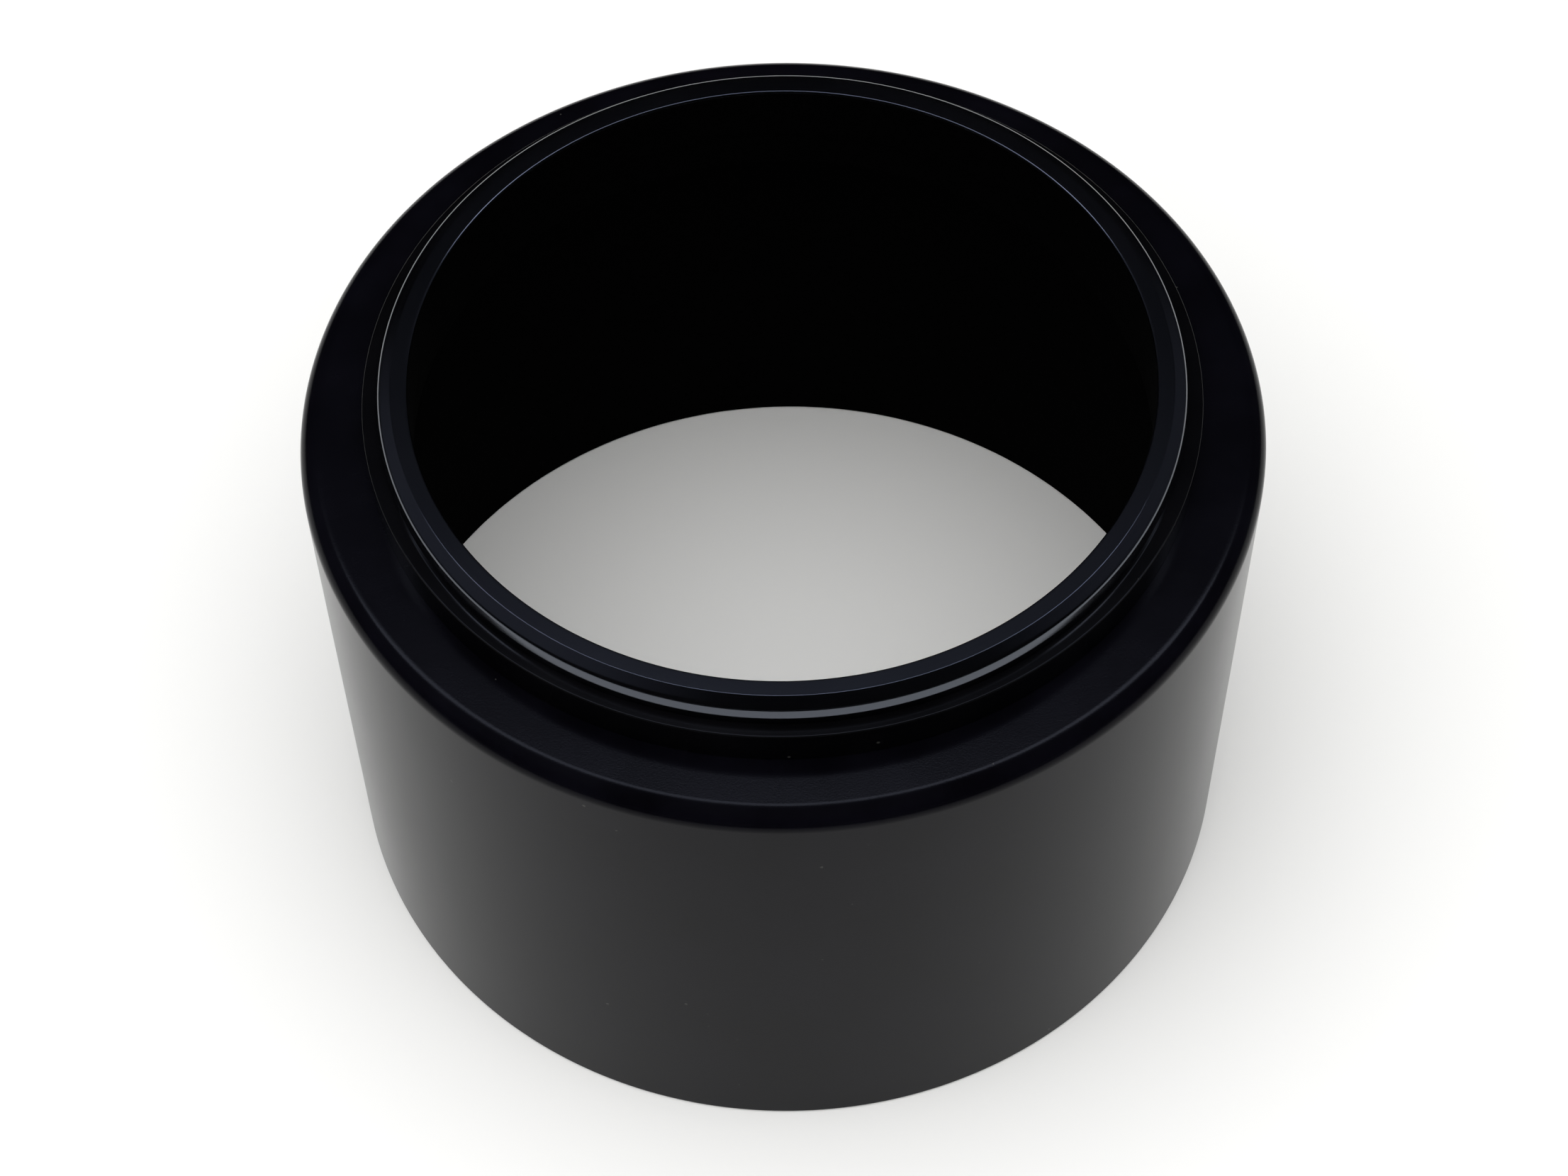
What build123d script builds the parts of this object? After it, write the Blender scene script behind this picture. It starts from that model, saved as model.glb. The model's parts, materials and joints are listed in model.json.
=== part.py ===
"""Stepped light sleeve: a thin open barrel with a flocked liner and a screw-in stepped neck."""

from build123d import *
import os

os.makedirs("parts", exist_ok=True)

# Every piece is a body of revolution about Z, in millimetres. The origin is the centre of the
# open mouth, in the plane that the sleeve stands on, and the neck points up.

# Barrel
barrel_radius = 30.0
barrel_wall = 0.65
shoulder_height = 37.15
shoulder_round = 1.25
shoulder_thickness = 1.2
edge_break = 0.12

# Neck: the collar is the lower step; the bush has the upper step, the clear bore and the thread.
# The rim rises straight from its foot, leans in up to a shallow bevel, and ends in a flat land.
collar_radius = 25.8
collar_height = 2.4
collar_edge = 0.07
rim_radius = 24.9
rim_height = 1.52
rim_foot = 0.45
foot_round = 1.0
bevel_radius = 24.7
bevel_drop = 0.27
bevel_round = 0.4
land_radius = 23.95
bore_radius = 22.9
relief_radius = 23.2
seam_chamfer = 0.05
running_clearance = 0.05

# Neck thread, M48 x 0.75. V grooves, one per pitch, stand for the helix on both pieces.
thread_radius = 24.0
thread_pitch = 0.75
thread_turns = 4
thread_depth = 0.38
thread_flat = 0.12

# Boss under the shoulder that the bush screws into
boss_wall = 1.4
boss_overlap = 0.2

# Liner
liner_thickness = 0.3
glue_gap = 0.03
liner_end_gap = 0.1

# Sizes that follow
barrel_bore = barrel_radius - barrel_wall
shoulder_underside = shoulder_height - shoulder_thickness
skirt_bottom = shoulder_height - thread_turns * thread_pitch
skirt_radius = thread_radius - running_clearance
boss_bottom = skirt_bottom - boss_overlap
ledge_height = shoulder_height + collar_height
top_height = ledge_height + rim_height
bevel_height = top_height - bevel_drop
liner_outer = barrel_bore - glue_gap
liner_inner = liner_outer - liner_thickness
liner_length = shoulder_underside - barrel_wall - 2 * liner_end_gap


def corners_at(sketch, *points):
    """The sketch's corners at these radius and height pairs."""
    return [sketch.vertices().sort_by_distance(Vector(r, z))[0] for r, z in points]


def thread_grooves(wall_radius, into):
    """Cut the thread's V grooves into a wall of the section being drawn; into is -1 inward, 1 outward."""
    tip = wall_radius + into * thread_depth
    open_edge = wall_radius - into * thread_flat
    half_width = 0.5 * (thread_pitch - thread_flat)
    for turn in range(thread_turns):
        middle = skirt_bottom + (turn + 0.5) * thread_pitch
        Polygon(
            (open_edge, middle - half_width),
            (tip, middle),
            (open_edge, middle + half_width),
            align=None,
            mode=Mode.SUBTRACT,
        )


# Barrel: side wall, rounded shoulder, and the threaded boss that hangs from the shoulder
with BuildPart() as barrel:
    with BuildSketch(Plane.XZ) as section:
        with BuildLine():
            Polyline(
                (barrel_bore, 0),
                (barrel_radius, 0),
                (barrel_radius, shoulder_height),
                (thread_radius, shoulder_height),
                (thread_radius, boss_bottom),
                (thread_radius + boss_wall, boss_bottom),
                (thread_radius + boss_wall, shoulder_underside),
                (barrel_bore, shoulder_underside),
                close=True,
            )
        make_face()
        fillet(corners_at(section, (barrel_radius, shoulder_height)), shoulder_round)
        fillet(corners_at(section, (barrel_bore, shoulder_underside)), barrel_wall)
        fillet(corners_at(section, (barrel_radius, 0), (barrel_bore, 0)), edge_break)
        thread_grooves(thread_radius, 1)
    revolve(axis=Axis.Z)
barrel.part.label = "barrel"
export_step(barrel.part, "parts/barrel.step")

# Liner: a thin flocked sleeve bonded to the inside of the side wall
with BuildPart() as barrel_liner:
    with BuildSketch(Plane.XY.offset(liner_end_gap)):
        Circle(liner_outer)
        Circle(liner_inner, mode=Mode.SUBTRACT)
    extrude(amount=liner_length)
barrel_liner.part.label = "barrel_liner"
export_step(barrel_liner.part, "parts/barrel_liner.step")

# Collar: the plain ring that the bush clamps on the shoulder
with BuildPart() as neck_collar:
    with BuildSketch(Plane.XZ) as section:
        with Locations((thread_radius, shoulder_height)):
            Rectangle(collar_radius - thread_radius, collar_height, align=(Align.MIN, Align.MIN))
        fillet(corners_at(section, (collar_radius, ledge_height)), collar_edge)
        chamfer(corners_at(section, (collar_radius, shoulder_height)), seam_chamfer)
    revolve(axis=Axis.Z)
neck_collar.part.label = "neck_collar"
export_step(neck_collar.part, "parts/neck_collar.step")

# Bush: bevelled rim on the collar's ledge, clear bore, and the threaded skirt
with BuildPart() as neck_bush:
    with BuildSketch(Plane.XZ) as section:
        with BuildLine():
            Polyline(
                (relief_radius, skirt_bottom),
                (skirt_radius, skirt_bottom),
                (skirt_radius, ledge_height),
                (rim_radius, ledge_height),
                (rim_radius, ledge_height + rim_foot),
                (bevel_radius, bevel_height),
                (land_radius, top_height),
                (bore_radius, top_height),
                (bore_radius, shoulder_height),
                (relief_radius, shoulder_height - (relief_radius - bore_radius)),
                close=True,
            )
        make_face()
        fillet(corners_at(section, (rim_radius, ledge_height + rim_foot)), foot_round)
        fillet(corners_at(section, (bevel_radius, bevel_height)), bevel_round)
        fillet(corners_at(section, (bore_radius, top_height)), edge_break)
        chamfer(corners_at(section, (rim_radius, ledge_height)), seam_chamfer)
        thread_grooves(skirt_radius, -1)
        chamfer(corners_at(section, (skirt_radius, skirt_bottom)), seam_chamfer)
    revolve(axis=Axis.Z)
neck_bush.part.label = "neck_bush"
export_step(neck_bush.part, "parts/neck_bush.step")
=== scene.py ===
"""Looks of the stepped light sleeve: turned and blasted metal, a flocked inside, a pale table."""
import json
import math
from collections import namedtuple

import bpy
from mathutils import Matrix, Vector


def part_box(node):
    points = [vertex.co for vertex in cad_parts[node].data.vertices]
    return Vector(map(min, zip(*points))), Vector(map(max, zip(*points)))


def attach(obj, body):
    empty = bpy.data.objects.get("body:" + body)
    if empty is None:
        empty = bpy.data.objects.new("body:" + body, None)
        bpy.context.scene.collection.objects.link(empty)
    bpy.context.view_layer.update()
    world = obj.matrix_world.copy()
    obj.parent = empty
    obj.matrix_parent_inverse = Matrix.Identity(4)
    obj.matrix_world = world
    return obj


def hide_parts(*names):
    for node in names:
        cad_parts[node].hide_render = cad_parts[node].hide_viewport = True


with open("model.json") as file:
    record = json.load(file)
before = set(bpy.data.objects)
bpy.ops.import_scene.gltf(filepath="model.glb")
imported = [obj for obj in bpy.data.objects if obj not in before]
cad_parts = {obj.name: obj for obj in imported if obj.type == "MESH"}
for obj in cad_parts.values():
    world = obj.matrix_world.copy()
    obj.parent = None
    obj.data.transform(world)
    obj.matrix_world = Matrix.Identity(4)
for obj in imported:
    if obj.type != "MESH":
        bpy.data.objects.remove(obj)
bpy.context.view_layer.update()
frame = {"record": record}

MM = 0.001
SIDES = 288

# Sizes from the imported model
barrel_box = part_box("barrel")
collar_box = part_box("neck_collar")
bush_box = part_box("neck_bush")
liner_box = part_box("barrel_liner")
barrel_radius = barrel_box[1].x
shoulder_height = barrel_box[1].z
collar_radius = collar_box[1].x
ledge_height = collar_box[1].z
rim_radius = bush_box[1].x
top_height = bush_box[1].z
skirt_bottom = bush_box[0].z
liner_radius = liner_box[1].x
bore_mount = next(m for m in frame["record"]["mounts"] if m["name"] == "neck_bore")
bore_radius = bore_mount["dims"]["r_mm"] * MM

# Sizes that the frame's boxes don't give
barrel_wall = 0.65 * MM
shoulder_round = 1.25 * MM
shoulder_thickness = 1.2 * MM
boss_wall = 1.4 * MM
boss_overlap = 0.2 * MM
liner_thickness = 0.3 * MM
rim_foot = 0.45 * MM
bevel_radius = 24.7 * MM
bevel_drop = 0.27 * MM
bevel_round = 0.4 * MM
foot_round = 1.0 * MM
land_radius = 23.95 * MM
relief_radius = 23.2 * MM
thread_radius = 24.0 * MM
thread_clearance = 0.05 * MM
thread_pitch = 0.75 * MM
thread_depth = 0.38 * MM
collar_edge = 0.07 * MM
foot_edge = 0.28 * MM
edge_break = 0.12 * MM
fine_edge = 0.05 * MM

# ---------------------------------------------------------------------------------------------
# Turned meshes
# ---------------------------------------------------------------------------------------------

Corner = namedtuple("Corner", "r z round")
Thread = namedtuple("Thread", "wall low high into")

ARC_STEP = math.radians(6)
SUPPORT = 0.04 * MM
ROWS_PER_PITCH = 14


def straight(start, end, thread):
    """Points from start up to end: loops beside the ends, and close rows where a thread is cut."""
    length = (end - start).length
    points = [start]
    if length > 4 * SUPPORT:
        step = (end - start).normalized() * SUPPORT
        points += [start + step, end - step]
    if thread and abs(start.x - thread.wall) < fine_edge and abs(end.x - thread.wall) < fine_edge:
        rows = int(length / thread_pitch * ROWS_PER_PITCH)
        points = [start.lerp(end, k / rows) for k in range(rows)]
    return points


def outline_of(corners, threads):
    """The closed outline through the corners, each rounded by an arc that meets its two sides."""
    runs = []
    for k, corner in enumerate(corners):
        here = Vector((corner.r, corner.z))
        back = (Vector(corners[k - 1][:2]) - here).normalized()
        ahead = (Vector(corners[(k + 1) % len(corners)][:2]) - here).normalized()
        half = 0.5 * back.angle(ahead)
        cut = corner.round / math.tan(half)
        centre = here + (back + ahead).normalized() * corner.round / math.sin(half)
        first, last = here + back * cut, here + ahead * cut
        turn = math.pi - 2 * half
        steps = max(3, round(turn / ARC_STEP))
        sweep = math.copysign(turn / steps, back.x * ahead.y - back.y * ahead.x)
        arm = first - centre
        arc = []
        for step in range(1, steps):
            cosine, sine = math.cos(-sweep * step), math.sin(-sweep * step)
            arc.append(centre + Vector((arm.x * cosine - arm.y * sine, arm.x * sine + arm.y * cosine)))
        runs.append((first, arc, last))
    outline = []
    for k, (first, arc, last) in enumerate(runs):
        next_first = runs[(k + 1) % len(runs)][0]
        thread = next((t for t in threads if abs(last.x - t.wall) < fine_edge), None)
        outline += [first] + arc + straight(last, next_first, thread)
    return outline


def thread_cut(thread, height, angle):
    """How far the helical V groove moves the wall at this height and angle."""
    if not thread.low < height < thread.high:
        return 0.0
    phase = ((height - skirt_bottom) / thread_pitch - angle / math.tau) % 1
    groove = min(1.0, max(0.0, (0.875 - abs(2 * phase - 1)) / 0.625))
    fade = min(1.0, min(height - thread.low, thread.high - height) / (0.5 * thread_pitch))
    return thread.into * thread_depth * groove * fade


def turned(name, corners, threads=()):
    """A closed mesh: the outline turned about Z, with its threads cut as real helices."""
    outline = outline_of(corners, threads)
    rows = []
    for point in outline:
        rows.append((point, next((t for t in threads if abs(point.x - t.wall) < 1e-7), None)))
    vertices = []
    for side in range(SIDES):
        angle = math.tau * side / SIDES
        for point, thread in rows:
            radius = point.x + (thread_cut(thread, point.y, angle) if thread else 0.0)
            vertices.append((radius * math.cos(angle), radius * math.sin(angle), point.y))
    count = len(rows)
    faces = []
    for side in range(SIDES):
        here, there = side * count, (side + 1) % SIDES * count
        for k in range(count):
            ahead = (k + 1) % count
            faces.append((here + k, there + k, there + ahead, here + ahead))
    mesh = bpy.data.meshes.new(name)
    mesh.from_pydata(vertices, [], faces)
    mesh.validate()
    mesh.update()
    mesh.shade_smooth()
    piece = bpy.data.objects.new(name, mesh)
    bpy.context.scene.collection.objects.link(piece)
    return piece


def make_barrel():
    inside = barrel_radius - barrel_wall
    underside = shoulder_height - shoulder_thickness
    boss_bottom = skirt_bottom - boss_overlap
    thread = Thread(thread_radius, skirt_bottom, shoulder_height, 1)
    corners = [
        Corner(inside, 0, edge_break),
        Corner(barrel_radius, 0, foot_edge),
        Corner(barrel_radius, shoulder_height, shoulder_round),
        Corner(thread_radius, shoulder_height, fine_edge),
        Corner(thread_radius, boss_bottom, fine_edge),
        Corner(thread_radius + boss_wall, boss_bottom, edge_break),
        Corner(thread_radius + boss_wall, underside, 2 * edge_break),
        Corner(inside, underside, barrel_wall),
    ]
    return turned("barrel_shell", corners, [thread])


def make_liner():
    inside = liner_radius - liner_thickness
    low, high = liner_box[0].z, liner_box[1].z
    corners = [
        Corner(inside, low, edge_break),
        Corner(liner_radius, low, fine_edge),
        Corner(liner_radius, high, fine_edge),
        Corner(inside, high, edge_break),
    ]
    return turned("flocked_liner", corners)


def make_collar():
    corners = [
        Corner(thread_radius, shoulder_height, fine_edge),
        Corner(collar_radius, shoulder_height, fine_edge),
        Corner(collar_radius, ledge_height, collar_edge),
        Corner(thread_radius, ledge_height, fine_edge),
    ]
    return turned("collar_ring", corners)


def make_bush():
    skirt_radius = thread_radius - thread_clearance
    thread = Thread(skirt_radius, skirt_bottom, shoulder_height, -1)
    corners = [
        Corner(relief_radius, skirt_bottom, fine_edge),
        Corner(skirt_radius, skirt_bottom, fine_edge),
        Corner(skirt_radius, ledge_height, fine_edge),
        Corner(rim_radius, ledge_height, fine_edge),
        Corner(rim_radius, ledge_height + rim_foot, foot_round),
        Corner(bevel_radius, top_height - bevel_drop, bevel_round),
        Corner(land_radius, top_height, fine_edge),
        Corner(bore_radius, top_height, edge_break),
        Corner(bore_radius, shoulder_height, fine_edge),
        Corner(relief_radius, shoulder_height - (relief_radius - bore_radius), fine_edge),
    ]
    return turned("threaded_bush", corners, [thread])


# ---------------------------------------------------------------------------------------------
# Materials
# ---------------------------------------------------------------------------------------------


class Nodes:
    """A material's node tree, with a short way to add a node and wire its inputs."""

    def __init__(self, name):
        self.material = bpy.data.materials.new(name)
        self.material.use_nodes = True
        self.tree = self.material.node_tree
        self.shader = self.tree.nodes["Principled BSDF"]
        self.place = self.add("ShaderNodeTexCoord").outputs["Object"]

    def add(self, kind, settings=None, **inputs):
        node = self.tree.nodes.new(kind)
        for key, value in (settings or {}).items():
            setattr(node, key, value)
        for key, value in inputs.items():
            self.put(node.inputs[key.replace("_", " ")], value)
        return node

    def put(self, socket, value):
        if isinstance(value, bpy.types.NodeSocket):
            self.tree.links.new(value, socket)
        else:
            socket.default_value = value

    def noise(self, scale, detail=2.0, roughness=0.5):
        node = self.add("ShaderNodeTexNoise", Vector=self.place, Scale=scale, Detail=detail)
        node.inputs["Roughness"].default_value = roughness
        return node.outputs["Fac"]

    def math(self, operation, *values):
        node = self.add("ShaderNodeMath", {"operation": operation})
        for socket, value in zip(node.inputs, values):
            self.put(socket, value)
        return node.outputs["Value"]

    def ranged(self, value, low, high, new_low, new_high):
        node = self.add("ShaderNodeMapRange", Value=value, From_Min=low, From_Max=high)
        node.inputs["To Min"].default_value = new_low
        node.inputs["To Max"].default_value = new_high
        return node.outputs["Result"]

    def blend(self, share, first, second):
        node = self.add("ShaderNodeMix", {"data_type": "RGBA"})
        self.put(node.inputs["Factor"], share)
        for socket, colour in zip((node.inputs[6], node.inputs[7]), (first, second)):
            self.put(socket, colour if isinstance(colour, bpy.types.NodeSocket) else (*colour, 1))
        return node.outputs[2]

    def specks(self, cell, size, share):
        """1 on sparse small round specks: in some cells of this size, a dot of this radius."""
        node = self.add("ShaderNodeTexVoronoi", Vector=self.place, Scale=1 / cell)
        dot = self.math("LESS_THAN", node.outputs["Distance"], size / cell)
        red = self.add("ShaderNodeSeparateColor", Color=node.outputs["Color"]).outputs["Red"]
        chosen = self.math("LESS_THAN", red, share)
        return self.math("MULTIPLY", dot, chosen)

    def bump(self, height, distance, strength):
        node = self.add("ShaderNodeBump", Height=height, Distance=distance, Strength=strength)
        self.put(self.shader.inputs["Normal"], node.outputs["Normal"])


DUST = (0.030, 0.030, 0.028)


def anodised(name, dark, light, ior, gloss, roughness, grain, turning=0.0):
    """Black anodising over blasted or turned aluminium, with a fine grain and a few dust specks."""
    nodes = Nodes(name)
    shader = nodes.shader
    mottle = nodes.noise(180, detail=4, roughness=0.6)
    dust = nodes.math(
        "MAXIMUM",
        nodes.specks(0.9 * MM, 0.05 * MM, 0.05),
        nodes.specks(1.7 * MM, 0.11 * MM, 0.07),
    )
    colour = nodes.blend(nodes.ranged(mottle, 0.35, 0.65, 0, 1), dark, light)
    nodes.put(shader.inputs["Base Color"], nodes.blend(dust, colour, DUST))
    smear = nodes.noise(45, detail=3)
    nodes.put(
        shader.inputs["Roughness"],
        nodes.ranged(smear, 0.3, 0.7, 0.9 * roughness, 1.1 * roughness),
    )
    shader.inputs["IOR"].default_value = ior
    shader.inputs["Specular IOR Level"].default_value = gloss
    shader.inputs["Specular Tint"].default_value = (0.90, 0.93, 1.0, 1)
    height = nodes.noise(1 / (0.11 * MM), detail=2, roughness=0.6)
    if turning:
        axes = nodes.add("ShaderNodeSeparateXYZ", Vector=nodes.place)
        flat = nodes.add("ShaderNodeCombineXYZ", X=axes.outputs["X"], Y=axes.outputs["Y"])
        reach = nodes.add("ShaderNodeVectorMath", {"operation": "LENGTH"}, Vector=flat.outputs[0])
        along = nodes.math("ADD", reach.outputs["Value"], axes.outputs["Z"])
        rings = nodes.add("ShaderNodeTexNoise", {"noise_dimensions": "1D"}, W=along, Scale=1 / (0.08 * MM))
        height = nodes.math("ADD", height, nodes.math("MULTIPLY", rings.outputs["Fac"], turning))
    height = nodes.math("ADD", height, nodes.math("MULTIPLY", dust, 2.0))
    nodes.bump(height, 0.004 * MM, grain)
    return nodes.material


def blasted_black():
    """The blasted side and shoulder, which mirror little face on."""
    dark, light = (0.0010, 0.0009, 0.0018), (0.0019, 0.0018, 0.0033)
    return anodised("blasted_black", dark, light, 1.25, 0.21, roughness=0.19, grain=0.8)


def turned_black():
    """The plain turned ring under the rim."""
    dark, light = (0.0010, 0.0010, 0.0013), (0.0018, 0.0018, 0.0023)
    return anodised("turned_black", dark, light, 1.6, 0.10, roughness=0.11, grain=0.25, turning=0.6)


def bright_black():
    """The fine turned rim, the glossiest piece."""
    dark, light = (0.0010, 0.0010, 0.0013), (0.0016, 0.0016, 0.0020)
    material = anodised("bright_black", dark, light, 1.6, 0.85, roughness=0.10, grain=0.15, turning=0.6)
    shader = material.node_tree.nodes["Principled BSDF"]
    shader.inputs["Specular Tint"].default_value = (0.74, 0.82, 1.0, 1)
    return material


def flocking(name):
    """Deep black short pile: no gloss, a fibrous surface and a trace of lint."""
    nodes = Nodes(name)
    shader = nodes.shader
    pile = nodes.noise(1 / (0.25 * MM), detail=3, roughness=0.7)
    lint = nodes.specks(9.0 * MM, 0.10 * MM, 0.12)
    colour = nodes.blend(nodes.ranged(pile, 0.3, 0.7, 0, 1), (0.0002,) * 3, (0.0012, 0.0012, 0.0013))
    nodes.put(shader.inputs["Base Color"], nodes.blend(lint, colour, (0.08, 0.08, 0.075)))
    shader.inputs["Roughness"].default_value = 1.0
    shader.inputs["Specular IOR Level"].default_value = 0.02
    nodes.bump(nodes.math("ADD", pile, lint), 0.08 * MM, 0.8)
    return nodes.material


def matt(name, colour):
    """An even finish with no gloss."""
    nodes = Nodes(name)
    nodes.shader.inputs["Base Color"].default_value = (*colour, 1)
    nodes.shader.inputs["Roughness"].default_value = 1.0
    nodes.shader.inputs["Specular IOR Level"].default_value = 0.0
    return nodes.material


def tabletop(name):
    """Plain pale matt table."""
    nodes = Nodes(name)
    tone = nodes.noise(6, detail=2)
    nodes.put(
        nodes.shader.inputs["Base Color"],
        nodes.blend(nodes.ranged(tone, 0.3, 0.7, 0, 1), (0.84, 0.84, 0.835), (0.86, 0.86, 0.86)),
    )
    nodes.shader.inputs["Roughness"].default_value = 0.7
    nodes.shader.inputs["Specular IOR Level"].default_value = 0.2
    return nodes.material


# ---------------------------------------------------------------------------------------------
# Pieces on their bodies
# ---------------------------------------------------------------------------------------------

PIECES = [
    (make_barrel, "barrel", "barrel", "barrel_anodised", blasted_black()),
    (make_liner, "barrel_liner", "barrel", "flocking", flocking("flocked_black")),
    (make_collar, "neck_collar", "collar", "collar_anodised", turned_black()),
    (make_bush, "neck_bush", "bush", "bush_anodised", bright_black()),
]

for make, node, body, slot, material in PIECES:
    piece = make()
    piece.data.materials.append(material)
    if node == "neck_bush":
        piece.data.materials.append(flocking("bore_black"))
        for face in piece.data.polygons:
            reach = Vector(face.center[:2]).length
            if reach < relief_radius + 0.5 * fine_edge and face.center.z < top_height - edge_break:
                face.material_index = 1
    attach(piece, body)
    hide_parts(node)

# ---------------------------------------------------------------------------------------------
# Table, light and camera
# ---------------------------------------------------------------------------------------------

table_half = 1.5
table_mesh = bpy.data.meshes.new("table")
table_mesh.from_pydata(
    [(x * table_half, y * table_half, 0) for x, y in ((-1, -1), (1, -1), (1, 1), (-1, 1))],
    [],
    [(0, 1, 2, 3)],
)
table_mesh.materials.append(tabletop("table_white"))
table = bpy.data.objects.new("table", table_mesh)
bpy.context.scene.collection.objects.link(table)


def heading(azimuth, elevation):
    """The unit direction at these degrees; azimuth 0 is straight behind the object, 90 to its right."""
    around, up = math.radians(azimuth), math.radians(elevation)
    return Vector((math.sin(around) * math.cos(up), math.cos(around) * math.cos(up), math.sin(up)))


CAMERA_PITCH = 55.02

# A strip window high behind the object, which only the gloss mirrors
STRIP_DISTANCE = 1.2
STRIP_PITCH = 68
strip_light = bpy.data.lights.new("back_strip", "AREA")
strip_light.shape = "RECTANGLE"
strip_light.size = 1.2
strip_light.size_y = 0.21
strip_light.energy = 6.8 * math.pi * strip_light.size * strip_light.size_y
strip_light.color = (0.80, 0.84, 1.0)
strip = bpy.data.objects.new("back_strip", strip_light)
bpy.context.scene.collection.objects.link(strip)
strip.location = heading(0, STRIP_PITCH) * STRIP_DISTANCE
strip.rotation_euler = heading(0, STRIP_PITCH).to_track_quat("Z", "Y").to_euler()
strip.visible_diffuse = False
strip.visible_camera = False

# A black flag on the table in front, which only the gloss mirrors
FLAG_START = 0.095
flag_mesh = bpy.data.meshes.new("flag")
flag_far = barrel_radius + FLAG_START
flag_mesh.from_pydata(
    [(-1, -flag_far, MM), (1, -flag_far, MM), (1, -1, MM), (-1, -1, MM)],
    [],
    [(0, 3, 2, 1)],
)
flag_mesh.materials.append(matt("flag_black", (0.001, 0.001, 0.001)))
flag = bpy.data.objects.new("flag", flag_mesh)
bpy.context.scene.collection.objects.link(flag)
flag.visible_camera = False
flag.visible_diffuse = False
flag.visible_shadow = False

world = bpy.data.worlds.new("studio")
world.use_nodes = True
world.cycles.sampling_method = "NONE"
bpy.context.scene.world = world
tree = world.node_tree
tree.nodes.clear()
direction = tree.nodes.new("ShaderNodeTexCoord").outputs["Generated"]


def glow(centre, edge, core, dim, bright, colour):
    """A sky whose strength runs from dim to bright between these two angles from a direction."""
    toward = tree.nodes.new("ShaderNodeVectorMath")
    toward.operation = "DOT_PRODUCT"
    tree.links.new(direction, toward.inputs[0])
    toward.inputs[1].default_value = centre
    ramp = tree.nodes.new("ShaderNodeMapRange")
    ramp.interpolation_type = "SMOOTHSTEP"
    tree.links.new(toward.outputs["Value"], ramp.inputs["Value"])
    ramp.inputs["From Min"].default_value = math.cos(math.radians(edge))
    ramp.inputs["From Max"].default_value = math.cos(math.radians(core))
    ramp.inputs["To Min"].default_value = dim
    ramp.inputs["To Max"].default_value = bright
    sky = tree.nodes.new("ShaderNodeBackground")
    sky.inputs["Color"].default_value = (*colour, 1)
    tree.links.new(ramp.outputs["Result"], sky.inputs["Strength"])
    return sky.outputs["Background"]


def together(first, *others):
    """All these skies added up."""
    total = first
    for sky in others:
        added = tree.nodes.new("ShaderNodeAddShader")
        tree.links.new(total, added.inputs[0])
        tree.links.new(sky, added.inputs[1])
        total = added.outputs["Shader"]
    return total


def either(flag_socket, otherwise, chosen):
    """The second sky where the flag is 1, else the first."""
    mixed = tree.nodes.new("ShaderNodeMixShader")
    tree.links.new(flag_socket, mixed.inputs["Fac"])
    tree.links.new(otherwise, mixed.inputs[1])
    tree.links.new(chosen, mixed.inputs[2])
    return mixed.outputs["Shader"]


# The table and the matt surfaces are lit by a soft overhead sky. The gloss mirrors a dark room
# with a faint glow under the strip window and on the left and right. Past the table the
# backdrop is pale.
overhead = glow(heading(-160, 76), 63, 0, 0.02, 2.95, (1.0, 0.997, 0.985))
ROOM_COLOUR = (0.82, 0.84, 1.0)
room = together(
    glow(heading(0, 63), 17, 2, 0.005, 0.10, ROOM_COLOUR),
    glow(heading(-80, 45), 41, 15, 0.0, 0.15, ROOM_COLOUR),
    glow(heading(70, 35), 38, 15, 0.0, 0.10, ROOM_COLOUR),
)
backdrop = glow(heading(0, 90), 90, 0, 0.93, 0.99, (1.0, 1.0, 1.0))
paths = tree.nodes.new("ShaderNodeLightPath").outputs
seen = either(paths["Is Camera Ray"], either(paths["Is Glossy Ray"], overhead, room), backdrop)
output = tree.nodes.new("ShaderNodeOutputWorld")
tree.links.new(seen, output.inputs["Surface"])

# Camera: the distances are in barrel radii from the axis and the table
CAMERA_SIDE = -0.0035
CAMERA_BACK = 4.237
CAMERA_UP = 6.640
CAMERA_ROLL = -1.01
camera_data = bpy.data.cameras.new("camera")
camera_data.sensor_width = 36
camera_data.lens = 76.1
camera_data.clip_start = 0.01
camera = bpy.data.objects.new("camera", camera_data)
bpy.context.scene.collection.objects.link(camera)
pitched = Matrix.Rotation(math.radians(90 - CAMERA_PITCH), 4, "X")
rolled = Matrix.Rotation(math.radians(CAMERA_ROLL), 4, "Z")
stand = Matrix.Translation(Vector((CAMERA_SIDE, -CAMERA_BACK, CAMERA_UP)) * barrel_radius)
camera.matrix_world = stand @ pitched @ rolled
bpy.context.scene.camera = camera
bpy.context.scene.view_settings.view_transform = "Standard"
